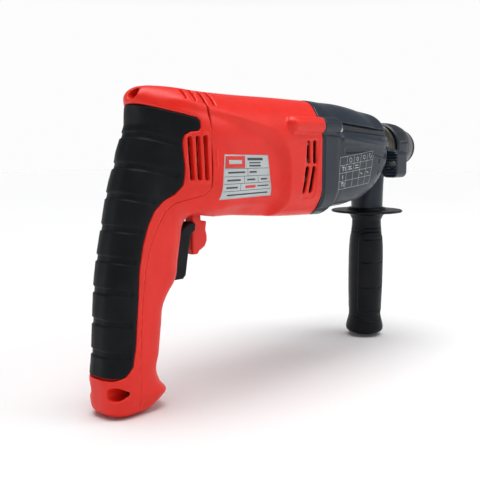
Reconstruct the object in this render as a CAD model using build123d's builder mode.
"""Rotary hammer with a pistol handle, built as the separate pieces it is assembled from.

Millimetres. X runs forward along the bit, Y to the operator's left and Z up. The origin is the
centre of the tool bore's mouth, on the front face of the hammer tube.
"""

import os
from math import acos, cos, pi, radians, sin, tan

from build123d import *

os.makedirs("parts", exist_ok=True)

# Shafts. All three lie in the middle plane, parallel to X.
MOTOR_Z = -8.0
INTER_Z = -29.0
SPINDLE_Z = 0.0

# Gear pairs: armature pinion on drive gear, intermediate pinion on spindle gear.
FAST_TEETH = (9, 33)
FAST_MODULE = 2 * (MOTOR_Z - INTER_Z) / sum(FAST_TEETH)
SLOW_TEETH = (10, 30)
SLOW_MODULE = 2 * (SPINDLE_Z - INTER_Z) / sum(SLOW_TEETH)
PRESSURE_ANGLE = radians(25)
ADDENDUM = 0.8
DEDENDUM = 1.0
BACKLASH = 0.04

# Body sections along the barrel: x, half width, bottom, top, corner radius.
SEAM_X = -164.0
REAR_SEAM_X = -297.0
FOOT_Z = -176.5
BARREL = (
    (SEAM_X, 39.0, -54.0, 39.0, 24.0),
    (-207.0, 39.0, -52.5, 40.0, 24.0),
    (-252.0, 38.5, -48.5, 40.5, 24.0),
    (-290.0, 37.0, -46.0, 42.0, 23.0),
    (-315.0, 30.0, -36.0, 43.0, 20.0),
    (-330.0, 20.0, -20.0, 42.0, 16.0),
    (-338.5, 11.0, -6.0, 37.0, 9.0),
)
# Body sections down the handle: z, rear x, front x, half width, corner radius.
HANDLE = (
    (16.0, -332.0, -300.0, 23.0, 15.0),
    (-20.0, -349.5, -298.0, 22.0, 17.0),
    (-50.0, -357.0, -299.0, 19.8, 16.0),
    (-75.0, -362.5, -304.0, 18.7, 16.0),
    (-100.0, -365.5, -313.0, 18.0, 16.0),
    (-135.0, -367.5, -321.0, 18.7, 16.0),
    (-150.0, -369.0, -323.0, 19.5, 16.0),
    (-164.0, -369.0, -316.0, 20.0, 15.0),
    (-171.0, -368.5, -318.0, 19.0, 14.0),
    (FOOT_Z, -364.0, -330.0, 16.0, 12.0),
)
# Body sections along the gearbox: x, half width, bottom, top, corner radius.
GEARBOX = (
    (-68.0, 27.0, -27.0, 27.0, 25.0),
    (-80.0, 32.5, -30.0, 31.5, 25.0),
    (-98.0, 36.0, -41.5, 34.5, 25.0),
    (-124.0, 38.0, -48.5, 37.0, 25.0),
    (SEAM_X, 39.0, -54.0, 39.0, 24.0),
)
SHELL_WALL = 3.4
RUBBER_WALL = 1.6
GEARBOX_WALL = 2.8
CAVITY_FRONT_X = -94.0

# Neck, spindle and tool holder.
BORE_R = 5.05
GUIDE_LENGTH = 16.0
NECK_R = 22.0
NECK_BORE_R = 18.6
NECK_FRONT_X = -40.0
NECK_REAR_X = -78.0
TUBE_FRONT_R = 10.0
TUBE_MIDDLE_R = 12.0
TUBE_R = 15.5
TUBE_BORE_R = 13.0
TUBE_STEP_X = -76.0
TUBE_REAR_X = -113.0
BOLT_BORE_R = 7.5
BOLT_BORE_X = -43.0
SLEEVE_R = 23.0
SLEEVE_TRAVEL = 5.0
BALL_R = 3.5
BALL_X = -22.0
BALL_CENTRE_R = 8.3

# Hammer mechanism.
PISTON_R = 12.95
PISTON_FRONT_X = -84.4
PISTON_BORE_R = 10.1
STRIKER_R = 10.05
WOBBLE_X = -132.0
FINGER_R = 2.5
HUB_R = 11.5

# Motor.
STATOR_R = 33.0
ROTOR_R = 19.0
AIR_GAP = 0.6
CORE_X = (-250.0, -205.0)
FAN_R = 31.0
ARM_SHAFT_R = 5.0
COMMUTATOR_R = 12.5
COMMUTATOR_X = (-280.0, -262.0)

# Side handle.
SIDE_X = -56.0
BAND_HALF = 8.0
FLANGE_Z = -58.0
FLANGE_R = 33.0
SADDLE_TOP_Z = -1.5
STOP_Y = -31.0
STOP_Z = -15.0
STOP_R = 4.0

# Screws that hold the gearbox to the motor housing: y, z, boss radius.
BOSSES = ((35.0, 15.0, 7.0), (-35.0, 15.0, 7.0), (25.5, -42.0, 6.0), (-25.5, -42.0, 6.0))
BOSS_FRONT_X = -155.0
BOSS_REAR_X = -218.0
CHANNEL_FRONT_X = -112.0


def save(part, name):
    """Writes one finished piece under its own name."""
    part.label = name
    export_step(part, f"parts/{name}.step")


def ring(name, x_rear, x_front, outer, inner, z):
    """A plain ring about a line parallel to X."""
    with BuildPart() as piece:
        with BuildSketch(Plane.YZ.offset(x_rear)):
            with Locations((0, z)):
                Circle(outer)
                Circle(inner, mode=Mode.SUBTRACT)
        extrude(amount=x_front - x_rear)
    save(piece.part, name)


def bearing(name, x_rear, x_front, outer, inner, z):
    """A sealed ball bearing: two races with a slightly sunk shield between them."""
    race = (outer - inner) * 0.28
    width = x_front - x_rear
    with BuildPart() as piece:
        with BuildSketch(Plane.YZ.offset(x_rear)):
            with Locations((0, z)):
                Circle(outer)
                Circle(inner, mode=Mode.SUBTRACT)
        extrude(amount=width)
        for x, way in ((x_rear, 1), (x_front, -1)):
            with BuildSketch(Plane.YZ.offset(x)):
                with Locations((0, z)):
                    Circle(outer - race)
                    Circle(inner + race, mode=Mode.SUBTRACT)
            extrude(amount=way * width * 0.08, mode=Mode.SUBTRACT)
    save(piece.part, name)


def turned(points):
    """A solid turned about the spindle axis from (x, radius) points."""
    with BuildPart(mode=Mode.PRIVATE) as piece:
        with BuildSketch(Plane.XY):
            with BuildLine():
                Polyline(*points, close=True)
            make_face()
        revolve(axis=Axis.X)
    return piece.part


def barrel_like(sections, skin):
    """The solid through upright sections, drawn in by skin."""
    with BuildPart(mode=Mode.PRIVATE) as solid:
        for x, half, low, high, corner in sections:
            with BuildSketch(Plane.YZ.offset(x)):
                with Locations((0, (low + high) / 2)):
                    RectangleRounded(2 * (half - skin), high - low - 2 * skin, corner - skin)
        loft(ruled=True)
    return solid.part


def handle_like(sections, skin):
    """The solid through level sections, drawn in by skin."""
    with BuildPart(mode=Mode.PRIVATE) as solid:
        for z, rear, front, half, corner in sections:
            with BuildSketch(Plane.XY.offset(z)):
                with Locations(((rear + front) / 2, 0)):
                    RectangleRounded(front - rear - 2 * skin, 2 * (half - skin), corner - skin)
        loft(ruled=True)
    return solid.part


def body_solid(skin):
    """Barrel and handle together, drawn in by skin and closed at the foot and the back."""
    rear_x = BARREL[-1][0]
    foot_z = HANDLE[-1][0]
    last = (rear_x + skin,) + BARREL[-1][1:]
    foot = (foot_z + skin,) + HANDLE[-1][1:]
    with BuildPart(mode=Mode.PRIVATE) as solid:
        add(barrel_like(BARREL[:-1] + (last,), skin))
        add(handle_like(HANDLE[:-1] + (foot,), skin))
    return solid.part


def rear_region():
    """Everything behind the parting line between motor housing and rear cover."""
    with BuildPart(mode=Mode.PRIVATE) as region:
        with BuildSketch(Plane.XZ):
            with BuildLine():
                Line((REAR_SEAM_X, 70), (REAR_SEAM_X, -22))
                Spline((REAR_SEAM_X, -22), (-308, -37), (-323, -48), (-331, -72), (-334, -120), (-339, -172),
                       tangents=((0, -1), (-0.1, -1)))
                Line((-339, -172), (-340, -200))
                Line((-340, -200), (-420, -200))
                Line((-420, -200), (-420, 70))
                Line((-420, 70), (REAR_SEAM_X, 70))
            make_face()
        extrude(amount=80, both=True)
    return region.part


def grip_region():
    """The area that the rubber overmould covers, seen from the side."""
    with BuildPart(mode=Mode.PRIVATE) as region:
        with BuildSketch(Plane.XZ):
            with BuildLine():
                Polyline((-400, 17), (-338, 17), (-300, 8), (-300, -1), (-313, -6), (-313, -30), (-333, -44),
                         (-342, -80), (-345, -120), (-351, -146), (-400, -146), close=True)
            make_face()
        extrude(amount=80, both=True)
    return region.part


def side_vents(places, angle, length, width):
    """Slots cut through both side walls, each centred on a place in the side view."""
    with BuildPart(mode=Mode.PRIVATE) as cutter:
        with BuildSketch(Plane.XZ):
            with Locations(*places):
                SlotOverall(length, width, rotation=angle)
        extrude(amount=80, both=True)
    return cutter.part


def boss_rods(x_rear, x_front, growth):
    """Rods along the four gearbox screws, as thick as their bosses plus growth."""
    with BuildPart(mode=Mode.PRIVATE) as rods:
        for y, z, radius in BOSSES:
            with BuildSketch(Plane.YZ.offset(x_rear)):
                with Locations((y, z)):
                    Circle(radius + growth)
            extrude(amount=x_front - x_rear)
    return rods.part


def screw_rods(x_rear, x_front, radius):
    """Holes or shanks along the four gearbox screws."""
    with BuildPart(mode=Mode.PRIVATE) as rods:
        with BuildSketch(Plane.YZ.offset(x_rear)):
            with Locations(*[(y, z) for y, z, boss in BOSSES]):
                Circle(radius)
        extrude(amount=x_front - x_rear)
    return rods.part


def box_between(low, high):
    """A box from its low corner to its high corner, for cuts."""
    size = [b - a for a, b in zip(low, high)]
    with BuildPart(mode=Mode.PRIVATE) as block:
        with Locations(tuple((a + b) / 2 for a, b in zip(low, high))):
            Box(*size)
    return block.part


# Bearings and their seats.
INTER_BEARING_R = 8.0
INTER_FRONT_X = -84.0
REAR_BEARING_R = 21.0
PLATE_REAR_X = -165.0
PLATE_WIDTH = 7.0
WEB_X = -296.0

# Gearbox screws, labels and mode knob.
SCREW_R = 2.2
HEAD_R = 3.8
HEAD_LENGTH = 4.0
RATING_Y = 37.4
CHART_Y = 37.0
PLATE_THICK = 0.6
KNOB_X = -122.0
KNOB_Z = -22.0
KNOB_SHAFT_R = 8.0
KNOB_R = 16.0

# Trigger and switch places in the handle.
TRIGGER_HALF = 7.5
TRIGGER_TOP = -52.0
TRIGGER_FOOT = -92.5
TRIGGER_TRAVEL = 6.0
LOCK_X = -316.0
LOCK_Z = -70.0
LOCK_R = 5.5
TOP_SCREW_Z = 31.0
TOP_HEAD_X = -333.0
FOOT_SCREW_Z = -157.0
FOOT_HEAD_X = -363.0
INLET_X = -349.0
INLET_R = 4.2
GLAND_R = 8.0
GLAND_LENGTH = 15.5




def make_motor_housing(outer, inner, rear):
    """Red front shell: motor barrel and the front half of the handle."""
    with BuildPart() as housing:
        add(outer)
        add(inner, mode=Mode.SUBTRACT)
        add(boss_rods(BOSS_REAR_X, SEAM_X, 0))
        # Web with a pocket for the rear armature bearing, and ribs that hold the stator.
        with BuildSketch(Plane.YZ.offset(WEB_X)):
            with Locations((0, MOTOR_Z)):
                Circle(13)
                Rectangle(71, 7)
                Rectangle(7, 70)
        extrude(amount=9)
        with BuildSketch(Plane.YZ.offset(WEB_X + 2)):
            with Locations((0, MOTOR_Z)):
                Circle(9.5)
        extrude(amount=20, mode=Mode.SUBTRACT)
        with BuildSketch(Plane.YZ.offset(WEB_X)):
            with Locations((0, MOTOR_Z)):
                Circle(6)
        extrude(amount=20, mode=Mode.SUBTRACT)
        with BuildSketch(Plane.YZ.offset(CORE_X[0] + 4)):
            with Locations((0, MOTOR_Z)):
                Rectangle(72, 12)
                Rectangle(12, 76)
            with Locations((0, 8)):
                Rectangle(12, 60)
            with Locations((0, MOTOR_Z)):
                Circle(STATOR_R, mode=Mode.SUBTRACT)
        extrude(amount=36)
        add(rear, mode=Mode.SUBTRACT)
        add(screw_rods(-200, SEAM_X, SCREW_R), mode=Mode.SUBTRACT)
        # Openings for the trigger, the direction lever and the lock button.
        add(box_between((-322, -8, -94), (-290, 8, -51)), mode=Mode.SUBTRACT)
        add(box_between((-287, -17, -56), (-275, 17, -40)), mode=Mode.SUBTRACT)
        with BuildSketch(Plane.XZ):
            with Locations((LOCK_X, LOCK_Z)):
                Circle(LOCK_R + 0.3)
        extrude(amount=-40, mode=Mode.SUBTRACT)
        add(side_vents([(-186.5, -4.5), (-194.5, -4.5)], 90, 20, 2.8), mode=Mode.SUBTRACT)
        add(side_vents([(-189.5, -26), (-197.5, -26)], 76, 20, 2.8), mode=Mode.SUBTRACT)
        # Flat recess for the rating plate on the right side.
        add(box_between((-291, -60, -38), (-237, -RATING_Y, -1)), mode=Mode.SUBTRACT)
    save(housing.part, "motor_housing")


def make_rear_cover(outer, inner, rear, rubber_core, grip):
    """Red rear shell with its vents, screw pockets and cord inlet."""
    with BuildPart() as skin:
        add(outer)
        add(rubber_core, mode=Mode.SUBTRACT)
        add(grip, mode=Mode.INTERSECT)
        add(rear, mode=Mode.INTERSECT)
    save(skin.part, "grip_overmould")
    with BuildPart() as cover:
        add(outer)
        add(inner, mode=Mode.SUBTRACT)
        # Solid ends round the top screw and round the cord inlet.
        add(box_between((-338, -9, 22), (-322, 9, 38)).intersect(outer))
        add(box_between((-367, -15, FOOT_Z + 2), (-335, 15, FOOT_Z + 18)).intersect(outer))
        add(box_between((-366, -8, -164), (-345, 8, -150)).intersect(outer))
        add(rear, mode=Mode.INTERSECT)
        add(skin.part, mode=Mode.SUBTRACT)
        for z, head_x in ((TOP_SCREW_Z, TOP_HEAD_X), (FOOT_SCREW_Z, FOOT_HEAD_X)):
            with BuildSketch(Plane.YZ.offset(-380)):
                with Locations((0, z)):
                    Circle(HEAD_R + 0.6)
            extrude(amount=head_x + 380, mode=Mode.SUBTRACT)
            with BuildSketch(Plane.YZ.offset(-380)):
                with Locations((0, z)):
                    Circle(SCREW_R)
            extrude(amount=100, mode=Mode.SUBTRACT)
        with BuildSketch(Plane.XY.offset(FOOT_Z)):
            with Locations((INLET_X, 0)):
                Circle(GLAND_R)
        extrude(amount=GLAND_LENGTH, mode=Mode.SUBTRACT)
        add(side_vents([(-300.5, -8), (-307, -8), (-313.5, -8)], 88, 29, 2.8), mode=Mode.SUBTRACT)
        top = [(-288 - 8 * step, 33.5) for step in range(2, 5)]
        add(side_vents(top, 140, 9, 2.6), mode=Mode.SUBTRACT)
    save(cover.part, "rear_cover")


def make_gearbox_housing():
    """Black front housing, solid round the bearings and hollow round the gears."""
    cavity = tuple(section for section in GEARBOX if section[0] < CAVITY_FRONT_X - 10)
    first = (CAVITY_FRONT_X, 33.5, -39.0, 33.0, 24.0)
    solid_front = barrel_like(GEARBOX, 0)
    with BuildPart() as housing:
        add(solid_front)
        add(barrel_like((first,) + cavity, GEARBOX_WALL), mode=Mode.SUBTRACT)
        # Screw bosses, and the channels in front of them that a screwdriver reaches them by.
        add(boss_rods(SEAM_X, CHANNEL_FRONT_X, 0).intersect(solid_front))
        add(boss_rods(SEAM_X, BOSS_FRONT_X, 0))
        add(screw_rods(SEAM_X, BOSS_FRONT_X, SCREW_R), mode=Mode.SUBTRACT)
        add(screw_rods(BOSS_FRONT_X - HEAD_LENGTH, CHANNEL_FRONT_X + 40, HEAD_R + 0.4), mode=Mode.SUBTRACT)
        for x_rear, x_front, radius, z in (
            (NECK_REAR_X, 0, NECK_R, SPINDLE_Z),
            (CAVITY_FRONT_X - 1, NECK_REAR_X, REAR_BEARING_R, SPINDLE_Z),
            (CAVITY_FRONT_X - 1, INTER_FRONT_X, INTER_BEARING_R, INTER_Z),
        ):
            with BuildSketch(Plane.YZ.offset(x_rear)):
                with Locations((0, z)):
                    Circle(radius)
            extrude(amount=x_front - x_rear, mode=Mode.SUBTRACT)
        # Hole for the mode knob's shaft on the left side.
        with BuildSketch(Plane.XZ):
            with Locations((KNOB_X, KNOB_Z)):
                Circle(KNOB_SHAFT_R + 0.05)
        extrude(amount=-60, mode=Mode.SUBTRACT)
        # Flat seat for the function chart on the right side.
        add(box_between((-155, -60, -34), (-102, -CHART_Y, -4)), mode=Mode.SUBTRACT)
    save(housing.part, "gearbox_housing")


def make_plates():
    """Flat labels with rounded corners, one on each housing."""
    for name, low, high, y in (
        ("rating_plate", (-289, -36), (-240, -4), RATING_Y),
        ("function_chart", (-153, -32), (-104, -6), CHART_Y),
    ):
        with BuildPart() as plate:
            with BuildSketch(Plane.XZ.offset(y)):
                with Locations(((low[0] + high[0]) / 2, (low[1] + high[1]) / 2)):
                    RectangleRounded(high[0] - low[0], high[1] - low[1], 3)
            extrude(amount=PLATE_THICK)
        save(plate.part, name)


def make_neck():
    """Steel neck pressed into the gearbox; it carries the front bearing and the side handle."""
    points = (
        (NECK_REAR_X, NECK_R), (NECK_FRONT_X - 7, NECK_R), (NECK_FRONT_X - 7, 20.2), (NECK_FRONT_X, 20.2),
        (NECK_FRONT_X, 12.6), (NECK_FRONT_X - 2, 12.6), (NECK_FRONT_X - 2, NECK_BORE_R),
        (NECK_REAR_X, NECK_BORE_R),
    )
    save(turned(points), "neck")


def make_bearing_plate():
    """Aluminium plate between gearbox and motor, with pockets for two bearings."""
    last = GEARBOX[-1]
    before = GEARBOX[-2]
    share = (PLATE_REAR_X + PLATE_WIDTH / 2 - before[0]) / (last[0] - before[0])
    half, low, high, corner = [a + share * (b - a) for a, b in zip(before[1:], last[1:])]
    skin = GEARBOX_WALL + 0.9
    with BuildPart() as plate:
        with BuildSketch(Plane.YZ.offset(PLATE_REAR_X)):
            with Locations((0, (low + high) / 2)):
                RectangleRounded(2 * (half - skin), high - low - 2 * skin, corner - skin)
            for y, z, radius in BOSSES:
                with Locations((y, z)):
                    Circle(radius + 0.4, mode=Mode.SUBTRACT)
            with Locations((0, MOTOR_Z)):
                Circle(11, mode=Mode.SUBTRACT)
            with Locations((0, INTER_Z)):
                Circle(INTER_BEARING_R, mode=Mode.SUBTRACT)
        extrude(amount=PLATE_WIDTH)
    save(plate.part, "bearing_plate")


def gear_sketch(module, teeth, tooth_angle, bore):
    """Involute gear outline in the current sketch plane, one tooth centred on tooth_angle."""
    pitch = module * teeth / 2
    base = pitch * cos(PRESSURE_ANGLE)
    tip = pitch + ADDENDUM * module
    root = pitch - DEDENDUM * module
    start = max(base, root)
    half_tooth = pi / 2 / teeth - BACKLASH * module / pitch + tan(PRESSURE_ANGLE) - PRESSURE_ANGLE
    radii = [start + (tip - start) * step / 3 for step in range(4)]

    def flank(radius):
        turn = acos(min(1, base / radius))
        return half_tooth - (tan(turn) - turn)

    outline = []
    for tooth in range(teeth):
        middle = tooth_angle + 2 * pi * tooth / teeth
        side = [(root, -flank(start) * 1.02)] + [(radius, -flank(radius)) for radius in radii]
        side += [(radius, -angle) for radius, angle in reversed(side)]
        outline += [(radius * cos(middle + angle), radius * sin(middle + angle)) for radius, angle in side]
    with BuildLine() as teeth_line:
        Polyline(*outline, close=True)
    make_face(teeth_line.edges())
    if bore:
        Circle(bore, mode=Mode.SUBTRACT)


def make_armature():
    """Motor armature: shaft with cut pinion, core, windings, commutator and fan."""
    with BuildPart() as shaft:
        for x_rear, x_front, radius in ((-296, -280, 4), (-280, -158, ARM_SHAFT_R)):
            with BuildSketch(Plane.YZ.offset(x_rear)):
                with Locations((0, MOTOR_Z)):
                    Circle(radius)
            extrude(amount=x_front - x_rear)
        with BuildSketch(Plane(origin=(-158, 0, MOTOR_Z), x_dir=(0, 1, 0), z_dir=(1, 0, 0))):
            gear_sketch(FAST_MODULE, FAST_TEETH[0], -pi / 2, 0)
        extrude(amount=10.5)
    save(shaft.part, "armature_shaft")

    with BuildPart() as core:
        with BuildSketch(Plane.YZ.offset(CORE_X[0])):
            with Locations((0, MOTOR_Z)):
                Circle(ROTOR_R)
                with PolarLocations(ROTOR_R - 2.2, 12):
                    Rectangle(5, 1.6, mode=Mode.SUBTRACT)
                Circle(ARM_SHAFT_R, mode=Mode.SUBTRACT)
        extrude(amount=CORE_X[1] - CORE_X[0])
    save(core.part, "rotor_core")

    with BuildPart() as windings:
        for x_rear, x_front in ((CORE_X[0] - 9, CORE_X[0]), (CORE_X[1], CORE_X[1] + 8)):
            with BuildSketch(Plane.YZ.offset(x_rear)):
                with Locations((0, MOTOR_Z)):
                    Circle(16)
                    Circle(ARM_SHAFT_R, mode=Mode.SUBTRACT)
            extrude(amount=x_front - x_rear)
        fillet(windings.edges().filter_by(GeomType.CIRCLE).filter_by(lambda e: e.radius > 15), radius=2.5)
    save(windings.part, "armature_windings")

    with BuildPart() as bars:
        with BuildSketch(Plane.YZ.offset(COMMUTATOR_X[0])):
            with Locations((0, MOTOR_Z)):
                Circle(COMMUTATOR_R)
                Circle(ARM_SHAFT_R, mode=Mode.SUBTRACT)
        extrude(amount=COMMUTATOR_X[1] - COMMUTATOR_X[0])
        with BuildSketch(Plane.YZ.offset(COMMUTATOR_X[0])):
            with Locations((0, MOTOR_Z)):
                with PolarLocations(COMMUTATOR_R, 24):
                    Rectangle(1.6, 0.6)
        extrude(amount=COMMUTATOR_X[1] - COMMUTATOR_X[0] - 3, mode=Mode.SUBTRACT)
    save(bars.part, "commutator")

    with BuildPart() as fan:
        with BuildSketch(Plane.YZ.offset(-190)):
            with Locations((0, MOTOR_Z)):
                Circle(FAN_R)
        extrude(amount=2)
        with BuildSketch(Plane.YZ.offset(-188)):
            with Locations((0, MOTOR_Z)):
                with PolarLocations(21.5, 12):
                    Rectangle(18, 1.6, rotation=25)
                Circle(9)
        extrude(amount=10)
        with BuildSketch(Plane.YZ.offset(-190)):
            with Locations((0, MOTOR_Z)):
                Circle(ARM_SHAFT_R)
        extrude(amount=20, mode=Mode.SUBTRACT)
    save(fan.part, "fan")


def make_stator():
    """Laminated core with two poles, its two coils and the air baffle in front."""
    with BuildPart() as core:
        with BuildSketch(Plane.YZ.offset(CORE_X[0])):
            with Locations((0, MOTOR_Z)):
                Circle(STATOR_R)
                Circle(STATOR_R - 6.5, mode=Mode.SUBTRACT)
                for side in (1, -1):
                    with Locations((0, side * 23.5)):
                        Rectangle(26, 9)
                Circle(ROTOR_R + AIR_GAP, mode=Mode.SUBTRACT)
        extrude(amount=CORE_X[1] - CORE_X[0])
    save(core.part, "stator_core")

    with BuildPart() as coils:
        for x_rear in (CORE_X[0] - 8, CORE_X[1]):
            for side in (1, -1):
                with BuildSketch(Plane.YZ.offset(x_rear)):
                    with Locations((0, MOTOR_Z)):
                        Circle(STATOR_R - 7)
                        Circle(ROTOR_R + 0.8, mode=Mode.SUBTRACT)
                        with Locations((0, -side * 40 + side * 14)):
                            Rectangle(80, 80, mode=Mode.SUBTRACT)
                extrude(amount=8)
    save(coils.part, "field_coils")
    ring("baffle_ring", -200.0, -193.0, STATOR_R, 26.0, MOTOR_Z)


def make_brush_gear():
    """Turning brush bridge: plate, two holders, two carbons and the direction lever."""
    with BuildPart() as plate:
        with BuildSketch(Plane.YZ.offset(-285)):
            with Locations((0, MOTOR_Z)):
                Circle(31)
                Circle(14, mode=Mode.SUBTRACT)
                with PolarLocations(22.5, 2, start_angle=90):
                    SlotOverall(11, 5, mode=Mode.SUBTRACT)
        extrude(amount=3)
    save(plate.part, "brush_plate")
    with BuildPart() as holders:
        for side in (1, -1):
            with BuildSketch(Plane.XZ.offset(-side * 14.5)):
                with Locations((-273, MOTOR_Z)):
                    Rectangle(18, 14)
            extrude(amount=-side * 15)
            with BuildSketch(Plane.XZ.offset(-side * 13)):
                with Locations((-272, MOTOR_Z)):
                    Rectangle(12, 8)
            extrude(amount=-side * 13, mode=Mode.SUBTRACT)
    save(holders.part, "brush_holders")
    with BuildPart() as carbons:
        for side in (1, -1):
            with BuildSketch(Plane.XZ.offset(-side * 12.8)):
                with Locations((-272, MOTOR_Z)):
                    Rectangle(11.8, 7.8)
            extrude(amount=-side * 12)
    save(carbons.part, "carbon_brushes")
    with BuildPart() as lever:
        with BuildSketch(Plane.XZ.offset(-4.5)):
            with BuildLine():
                Polyline((-282, -38.9), (-282, -51), (-281, -62), (-285.5, -74), (-280, -76.5), (-272, -72),
                         (-267.5, -63), (-267, -51), (-279, -51), (-279, -38.9), close=True)
            make_face()
        extrude(amount=9)
    save(lever.part, "direction_lever")



def make_intermediate_shaft():
    """Intermediate shaft with cut pinion, drive gear and wobble hub."""
    with BuildPart() as shaft:
        for x_rear, x_front, radius in ((-165, -157, 4), (-157, -118, 5), (-98, -84, 5)):
            with BuildSketch(Plane.YZ.offset(x_rear)):
                with Locations((0, INTER_Z)):
                    Circle(radius)
            extrude(amount=x_front - x_rear)
        with BuildSketch(Plane(origin=(-118, 0, INTER_Z), x_dir=(0, 1, 0), z_dir=(1, 0, 0))):
            gear_sketch(SLOW_MODULE, SLOW_TEETH[0], pi / 2, 0)
        extrude(amount=20)
    save(shaft.part, "intermediate_shaft")

    with BuildPart() as gear:
        with BuildSketch(Plane(origin=(-156, 0, INTER_Z), x_dir=(0, 1, 0), z_dir=(1, 0, 0))):
            gear_sketch(FAST_MODULE, FAST_TEETH[1], pi / 2 + pi / FAST_TEETH[1], 5)
        extrude(amount=7)
        with BuildSketch(Plane.YZ.offset(-151)):
            with Locations((0, INTER_Z)):
                Circle(13)
                Circle(8, mode=Mode.SUBTRACT)
        extrude(amount=2, mode=Mode.SUBTRACT)
    save(gear.part, "drive_gear")

    groove = Plane(origin=(WOBBLE_X, 0, INTER_Z), x_dir=(0, 1, 0), z_dir=(cos(0.22), 0, sin(0.22)))
    with BuildPart() as hub:
        with Locations((WOBBLE_X, 0, INTER_Z)):
            Sphere(HUB_R)
        with BuildSketch(Plane.YZ.offset(WOBBLE_X - 20)):
            with Locations((0, INTER_Z)):
                Circle(5)
        extrude(amount=40, mode=Mode.SUBTRACT)
        split(bisect_by=Plane.YZ.offset(WOBBLE_X - 8), keep=Keep.TOP)
        split(bisect_by=Plane.YZ.offset(WOBBLE_X + 8), keep=Keep.BOTTOM)
        with BuildSketch(groove.offset(-1.6)):
            Circle(HUB_R + 4)
            Circle(HUB_R - 1.6, mode=Mode.SUBTRACT)
        extrude(amount=3.2, mode=Mode.SUBTRACT)
    save(hub.part, "wobble_hub")


def make_wobble_ring():
    """Ring round the hub with the finger that drives the piston."""
    with BuildPart() as wobble:
        with BuildSketch(Plane.YZ.offset(WOBBLE_X - 4)):
            with Locations((0, INTER_Z)):
                Circle(HUB_R + 3.6)
                Circle(HUB_R + 0.5, mode=Mode.SUBTRACT)
        extrude(amount=8)
        with BuildSketch(Plane.XY.offset(INTER_Z + HUB_R + 2)):
            with Locations((WOBBLE_X, 0)):
                Circle(FINGER_R)
        extrude(amount=3 - INTER_Z - HUB_R - 2)
    save(wobble.part, "wobble_ring")


def make_piston():
    """Hollow piston with a fork, and the cross pin that the finger passes through."""
    fork_rear = WOBBLE_X - 6.5
    with BuildPart() as piston:
        with BuildSketch(Plane.YZ.offset(fork_rear)):
            Circle(PISTON_R)
        extrude(amount=PISTON_FRONT_X - fork_rear)
        with BuildSketch(Plane.YZ.offset(-118)):
            Circle(PISTON_BORE_R)
        extrude(amount=40, mode=Mode.SUBTRACT)
        add(box_between((fork_rear - 1, -7, -20), (-122, 7, 20)), mode=Mode.SUBTRACT)
        with BuildSketch(Plane.XZ):
            with Locations((WOBBLE_X, 0)):
                Circle(5.5)
        extrude(amount=20, both=True, mode=Mode.SUBTRACT)
    save(piston.part, "piston")
    with BuildPart() as pin:
        with BuildSketch(Plane.XZ):
            with Locations((WOBBLE_X, 0)):
                Circle(5.5)
        extrude(amount=11, both=True)
        with BuildSketch(Plane.XY.offset(-10)):
            with Locations((WOBBLE_X, 0)):
                Circle(FINGER_R + 1.8)
        extrude(amount=20, mode=Mode.SUBTRACT)
    save(pin.part, "piston_pin")


def make_strikers():
    """Flying striker with its O-ring, and the impact bolt in front of it."""
    points = (
        (-112, 0), (-112, 8.5), (-110.5, STRIKER_R), (-104, STRIKER_R), (-104, 8.6), (-101, 8.6),
        (-101, STRIKER_R), (-90, STRIKER_R), (-88, 8.0), (-88, 0),
    )
    save(turned(points), "striker")
    with BuildPart() as seal:
        with BuildSketch(Plane.XY):
            with Locations((-102.5, 9.32)):
                Circle(0.7)
        revolve(axis=Axis.X)
    save(seal.part, "striker_o_ring")
    points = (
        (-73, 0), (-73, 6.0), (-71.5, 7.42), (-49, 7.42), (-46, 4.85), (-40.5, 4.85), (-40, 4.3), (-40, 0),
    )
    save(turned(points), "impact_bolt")


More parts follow.
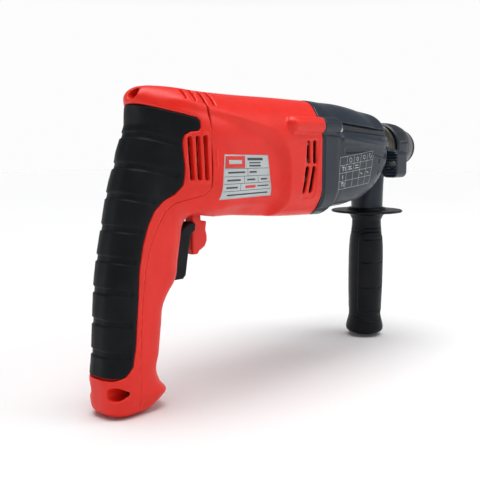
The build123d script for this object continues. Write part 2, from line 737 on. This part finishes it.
def make_spindle():
    """Hammer tube, its gear and safety clutch spring, the locking ball and the dust cap."""
    points = (
        (0, BORE_R), (0, 8.6), (-1.4, TUBE_FRONT_R), (-37.5, TUBE_FRONT_R), (-37.5, 16.5), (-39.3, 16.5),
        (-39.3, TUBE_MIDDLE_R), (TUBE_STEP_X, TUBE_MIDDLE_R), (TUBE_STEP_X, TUBE_R), (TUBE_REAR_X, TUBE_R),
        (TUBE_REAR_X, TUBE_BORE_R), (TUBE_STEP_X - 1, TUBE_BORE_R), (TUBE_STEP_X - 1, BOLT_BORE_R),
        (BOLT_BORE_X - 2.5, BOLT_BORE_R), (BOLT_BORE_X, BORE_R), (-GUIDE_LENGTH - 2, BORE_R),
        (-GUIDE_LENGTH - 2, BORE_R + 0.7), (-GUIDE_LENGTH, BORE_R + 0.7), (-GUIDE_LENGTH, BORE_R),
    )
    with BuildPart() as tube:
        add(turned(points))
        with BuildSketch(Plane.XY):
            with Locations((BALL_X, 0)):
                Circle(BALL_R + 0.05)
        extrude(amount=20, mode=Mode.SUBTRACT)
        # Two driving keys opposite each other behind the guide stretch.
        add(box_between((-36, -1.6, -6), (-GUIDE_LENGTH - 2, 1.6, -4.1)))
        add(box_between((-36, -1.6, 4.1), (-27, 1.6, 6)))
    save(tube.part, "hammer_tube")

    with BuildPart() as gear:
        with BuildSketch(Plane(origin=(-112, 0, 0), x_dir=(0, 1, 0), z_dir=(1, 0, 0))):
            gear_sketch(SLOW_MODULE, SLOW_TEETH[1], -pi / 2 + pi / SLOW_TEETH[1], TUBE_R)
        extrude(amount=8)
    save(gear.part, "spindle_gear")

    with BuildPart() as spring:
        with BuildLine() as coil:
            Helix(pitch=2.6, height=9.0, radius=TUBE_R + 1.3, center=(-102.7, 0, 0), direction=(1, 0, 0))
        with BuildSketch(Plane(origin=coil.line @ 0, z_dir=coil.line % 0)):
            Circle(0.95)
        sweep(is_frenet=True)
    save(spring.part, "clutch_spring")

    with BuildPart() as ball:
        with Locations((BALL_X, 0, BALL_CENTRE_R)):
            Sphere(BALL_R)
    save(ball.part, "locking_ball")

    points = (
        (-3.0, TUBE_FRONT_R + 0.02), (-3.0, 17.0), (0.5, 16.0), (3.8, 12.8), (5.0, 10.5), (5.0, 5.6), (2.0, 5.6),
        (0.0, 7.0), (0.0, TUBE_FRONT_R + 0.02),
    )
    save(turned(points), "dust_cap")

    with BuildPart() as spring:
        with BuildLine() as coil:
            Helix(pitch=3.1, height=10.4, radius=14.6, center=(-36.4, 0, 0), direction=(1, 0, 0))
        with BuildSketch(Plane(origin=coil.line @ 0, z_dir=coil.line % 0)):
            Circle(0.8)
        sweep(is_frenet=True)
    save(spring.part, "sleeve_spring")


def make_sleeve():
    """Locking sleeve that is drawn back to release the bit."""
    points = (
        (-4.0, TUBE_FRONT_R + 0.3), (-4.0, 17.6), (-8.5, 20.8), (-14, 22.4), (-20, SLEEVE_R), (-39.2, SLEEVE_R),
        (-39.8, 22.4), (-39.8, 20.6), (-25, 20.6), (-25, 12.6), (-10.5, 12.6), (-10.5, TUBE_FRONT_R + 0.3),
    )
    with BuildPart() as sleeve:
        add(turned(points))
        with BuildSketch(Plane.YZ.offset(-36)):
            with PolarLocations(SLEEVE_R + 0.6, 24):
                Circle(1.2)
        extrude(amount=14, mode=Mode.SUBTRACT)
    save(sleeve.part, "locking_sleeve")


def make_bearings():
    bearing("armature_front_bearing", -164, -159, 11, ARM_SHAFT_R, MOTOR_Z)
    bearing("armature_rear_bearing", -293.5, -287.5, 9.5, 4, MOTOR_Z)
    bearing("intermediate_front_bearing", -91, -85, INTER_BEARING_R, 5, INTER_Z)
    bearing("intermediate_rear_bearing", -164, -159, INTER_BEARING_R, 4, INTER_Z)
    bearing("spindle_front_bearing", -60, -49, NECK_BORE_R, TUBE_MIDDLE_R, SPINDLE_Z)
    bearing("spindle_rear_bearing", -90, -79, REAR_BEARING_R, TUBE_R, SPINDLE_Z)
    ring("front_seal", -48.5, -42.5, NECK_BORE_R, TUBE_MIDDLE_R, SPINDLE_Z)


def make_switch_gear():
    """Trigger, switch module, lock button, cable gland and cable clamp in the handle."""
    with BuildPart() as trigger:
        with BuildSketch(Plane.XZ.offset(-TRIGGER_HALF)):
            with BuildLine():
                Polyline((-283.5, TRIGGER_TOP), (-283.5, -57), (-288, -61), (-290.5, -70), (-292, -82),
                         (-295.5, -91), (-299, TRIGGER_FOOT), (-312, TRIGGER_FOOT), (-312, TRIGGER_TOP),
                         close=True)
            make_face()
        extrude(amount=2 * TRIGGER_HALF)
        rims = trigger.edges().filter_by(Plane.XZ).filter_by_position(Axis.X, -299, -280)
        chamfer(rims, length=1.0)
    save(trigger.part, "trigger")

    with BuildPart() as module:
        add(box_between((-343, -9, -98), (-319, 9, -50)))
        add(box_between((-319, -3, -75), (-318.3, 3, -69)))
    save(module.part, "switch_module")

    with BuildPart() as button:
        with BuildSketch(Plane.XZ.offset(-12.5)):
            with Locations((LOCK_X, LOCK_Z)):
                Circle(LOCK_R)
        extrude(amount=-9)
        chamfer(button.faces().sort_by(Axis.Y)[-1].edges(), length=0.8)
    save(button.part, "lock_button")

    with BuildPart() as gland:
        with BuildSketch(Plane.XY.offset(FOOT_Z)):
            with Locations((INLET_X, 0)):
                Circle(GLAND_R)
                Circle(INLET_R, mode=Mode.SUBTRACT)
        extrude(amount=GLAND_LENGTH)
    save(gland.part, "cable_gland")

    with BuildPart() as clamp:
        add(box_between((-346, -9, -147), (-338, 9, -141)))
        with BuildSketch(Plane.XY.offset(-150)):
            with Locations((-342, 0)):
                Circle(2.5)
        extrude(amount=20, mode=Mode.SUBTRACT)
    save(clamp.part, "cable_clamp")


def make_screws():
    """The two groups of housing screws."""
    with BuildPart() as screws:
        add(screw_rods(-196, BOSS_FRONT_X, SCREW_R))
        add(screw_rods(BOSS_FRONT_X, BOSS_FRONT_X + HEAD_LENGTH, HEAD_R))
        with BuildSketch(Plane.YZ.offset(BOSS_FRONT_X + HEAD_LENGTH - 1.5)):
            with Locations(*[(y, z) for y, z, boss in BOSSES]):
                RegularPolygon(1.9, 6)
        extrude(amount=3, mode=Mode.SUBTRACT)
    save(screws.part, "gearbox_screws")
    with BuildPart() as screws:
        for z, head_x, tip_x in ((TOP_SCREW_Z, TOP_HEAD_X, -322), (FOOT_SCREW_Z, FOOT_HEAD_X, -343)):
            with BuildSketch(Plane.YZ.offset(head_x - 3)):
                with Locations((0, z)):
                    Circle(HEAD_R)
                    RegularPolygon(1.9, 6, mode=Mode.SUBTRACT)
            extrude(amount=3)
            with BuildSketch(Plane.YZ.offset(head_x)):
                with Locations((0, z)):
                    Circle(SCREW_R)
            extrude(amount=tip_x - head_x)
    save(screws.part, "cover_screws")


def make_mode_knob():
    """Function selector on the left side."""
    with BuildPart() as knob:
        with BuildSketch(Plane.XZ.offset(-30)):
            with Locations((KNOB_X, KNOB_Z)):
                Circle(KNOB_SHAFT_R)
        extrude(amount=-9)
        with BuildSketch(Plane.XZ.offset(-39)):
            with Locations((KNOB_X, KNOB_Z)):
                Circle(KNOB_R)
        extrude(amount=-3)
        with BuildSketch(Plane.XZ.offset(-42)):
            with Locations((KNOB_X, KNOB_Z)):
                SlotOverall(2 * KNOB_R - 2, 9)
        extrude(amount=-6)
    save(knob.part, "mode_knob")


def make_side_handle():
    """Side handle: collar, clamp band and bolt, and the grip that turns to tighten them."""
    with BuildPart() as collar:
        with BuildSketch(Plane.YZ.offset(SIDE_X - BAND_HALF)):
            Circle(28)
        extrude(amount=2 * BAND_HALF)
        with BuildSketch(Plane.XY.offset(FLANGE_Z + 1.2)):
            with Locations((SIDE_X, 0)):
                Circle(15)
        with BuildSketch(Plane.XY.offset(-24)):
            with Locations((SIDE_X, 0)):
                Ellipse(11.0, 17.0)
        loft()
        # Boss for the depth stop on the right side.
        with BuildSketch(Plane.YZ.offset(SIDE_X - 9)):
            with Locations((STOP_Y + 2, STOP_Z)):
                RectangleRounded(17, 24, 6)
        extrude(amount=18)
        with BuildSketch(Plane.YZ.offset(SIDE_X - 20)):
            Circle(NECK_R + 1.2)
            with Locations((STOP_Y, STOP_Z)):
                Circle(STOP_R)
        extrude(amount=40, mode=Mode.SUBTRACT)
        # The strap alone goes over the top of the neck.
        add(box_between((SIDE_X - 20, -60, SADDLE_TOP_Z), (SIDE_X + 20, 60, 60)), mode=Mode.SUBTRACT)
        # Passage for the clamp bolt and the strap.
        with BuildSketch(Plane.XY.offset(FLANGE_Z)):
            with Locations((SIDE_X, 0)):
                Circle(4.08)
        extrude(amount=36, mode=Mode.SUBTRACT)
    save(collar.part, "side_handle_collar")

    ring("clamp_band", SIDE_X - BAND_HALF, SIDE_X + BAND_HALF, NECK_R + 1.2, NECK_R + 0.03, SPINDLE_Z)

    with BuildPart() as bolt:
        with BuildSketch(Plane.XY.offset(-122)):
            with Locations((SIDE_X, 0)):
                Circle(4.0)
        extrude(amount=122 - NECK_R - 2)
        with BuildSketch(Plane.XY.offset(-122)):
            with Locations((SIDE_X, 0)):
                RegularPolygon(7.0, 6)
        extrude(amount=5)
    save(bolt.part, "clamp_bolt")

    with BuildPart() as core:
        with BuildSketch(Plane.XZ):
            with BuildLine():
                Polyline((SIDE_X + 4.1, FLANGE_Z + 0.6), (SIDE_X + FLANGE_R - 1, FLANGE_Z + 0.6),
                         (SIDE_X + FLANGE_R, FLANGE_Z - 0.4), (SIDE_X + FLANGE_R - 1, FLANGE_Z - 2),
                         (SIDE_X + 17, FLANGE_Z - 3), (SIDE_X + 12, FLANGE_Z - 10), (SIDE_X + 11, -172),
                         (SIDE_X + 8, -172), (SIDE_X + 8, -116.5), (SIDE_X + 4.1, -116.5), close=True)
            make_face()
        revolve(axis=Axis((SIDE_X, 0, 0), (0, 0, 1)))
    save(core.part, "side_handle_core")

    with BuildPart() as grip:
        with BuildSketch(Plane.XZ):
            with BuildLine():
                Line((SIDE_X + 12, FLANGE_Z - 10), (SIDE_X + 17, FLANGE_Z - 3))
                Spline((SIDE_X + 17, FLANGE_Z - 3), (SIDE_X + 13.8, FLANGE_Z - 12), (SIDE_X + 15.6, -95),
                       (SIDE_X + 15.2, -150), (SIDE_X + 17.6, -166))
                Line((SIDE_X + 17.6, -166), (SIDE_X + 17.6, -170))
                Line((SIDE_X + 17.6, -170), (SIDE_X + 14.5, -175))
                Line((SIDE_X + 14.5, -175), (SIDE_X, -175))
                Line((SIDE_X, -175), (SIDE_X, -172))
                Line((SIDE_X, -172), (SIDE_X + 11, -172))
                Line((SIDE_X + 11, -172), (SIDE_X + 12, FLANGE_Z - 10))
            make_face()
        revolve(axis=Axis((SIDE_X, 0, 0), (0, 0, 1)))
    save(grip.part, "side_handle_grip")


outer = body_solid(0.0)
inner = body_solid(SHELL_WALL)
rubber_core = body_solid(RUBBER_WALL)
rear = rear_region()
make_motor_housing(outer, inner, rear)
make_rear_cover(outer, inner, rear, rubber_core, grip_region())
make_gearbox_housing()
make_plates()
make_neck()
make_bearing_plate()
make_armature()
make_stator()
make_brush_gear()
make_intermediate_shaft()
make_wobble_ring()
make_piston()
make_strikers()
make_spindle()
make_sleeve()
make_bearings()
make_switch_gear()
make_screws()
make_mode_knob()
make_side_handle()
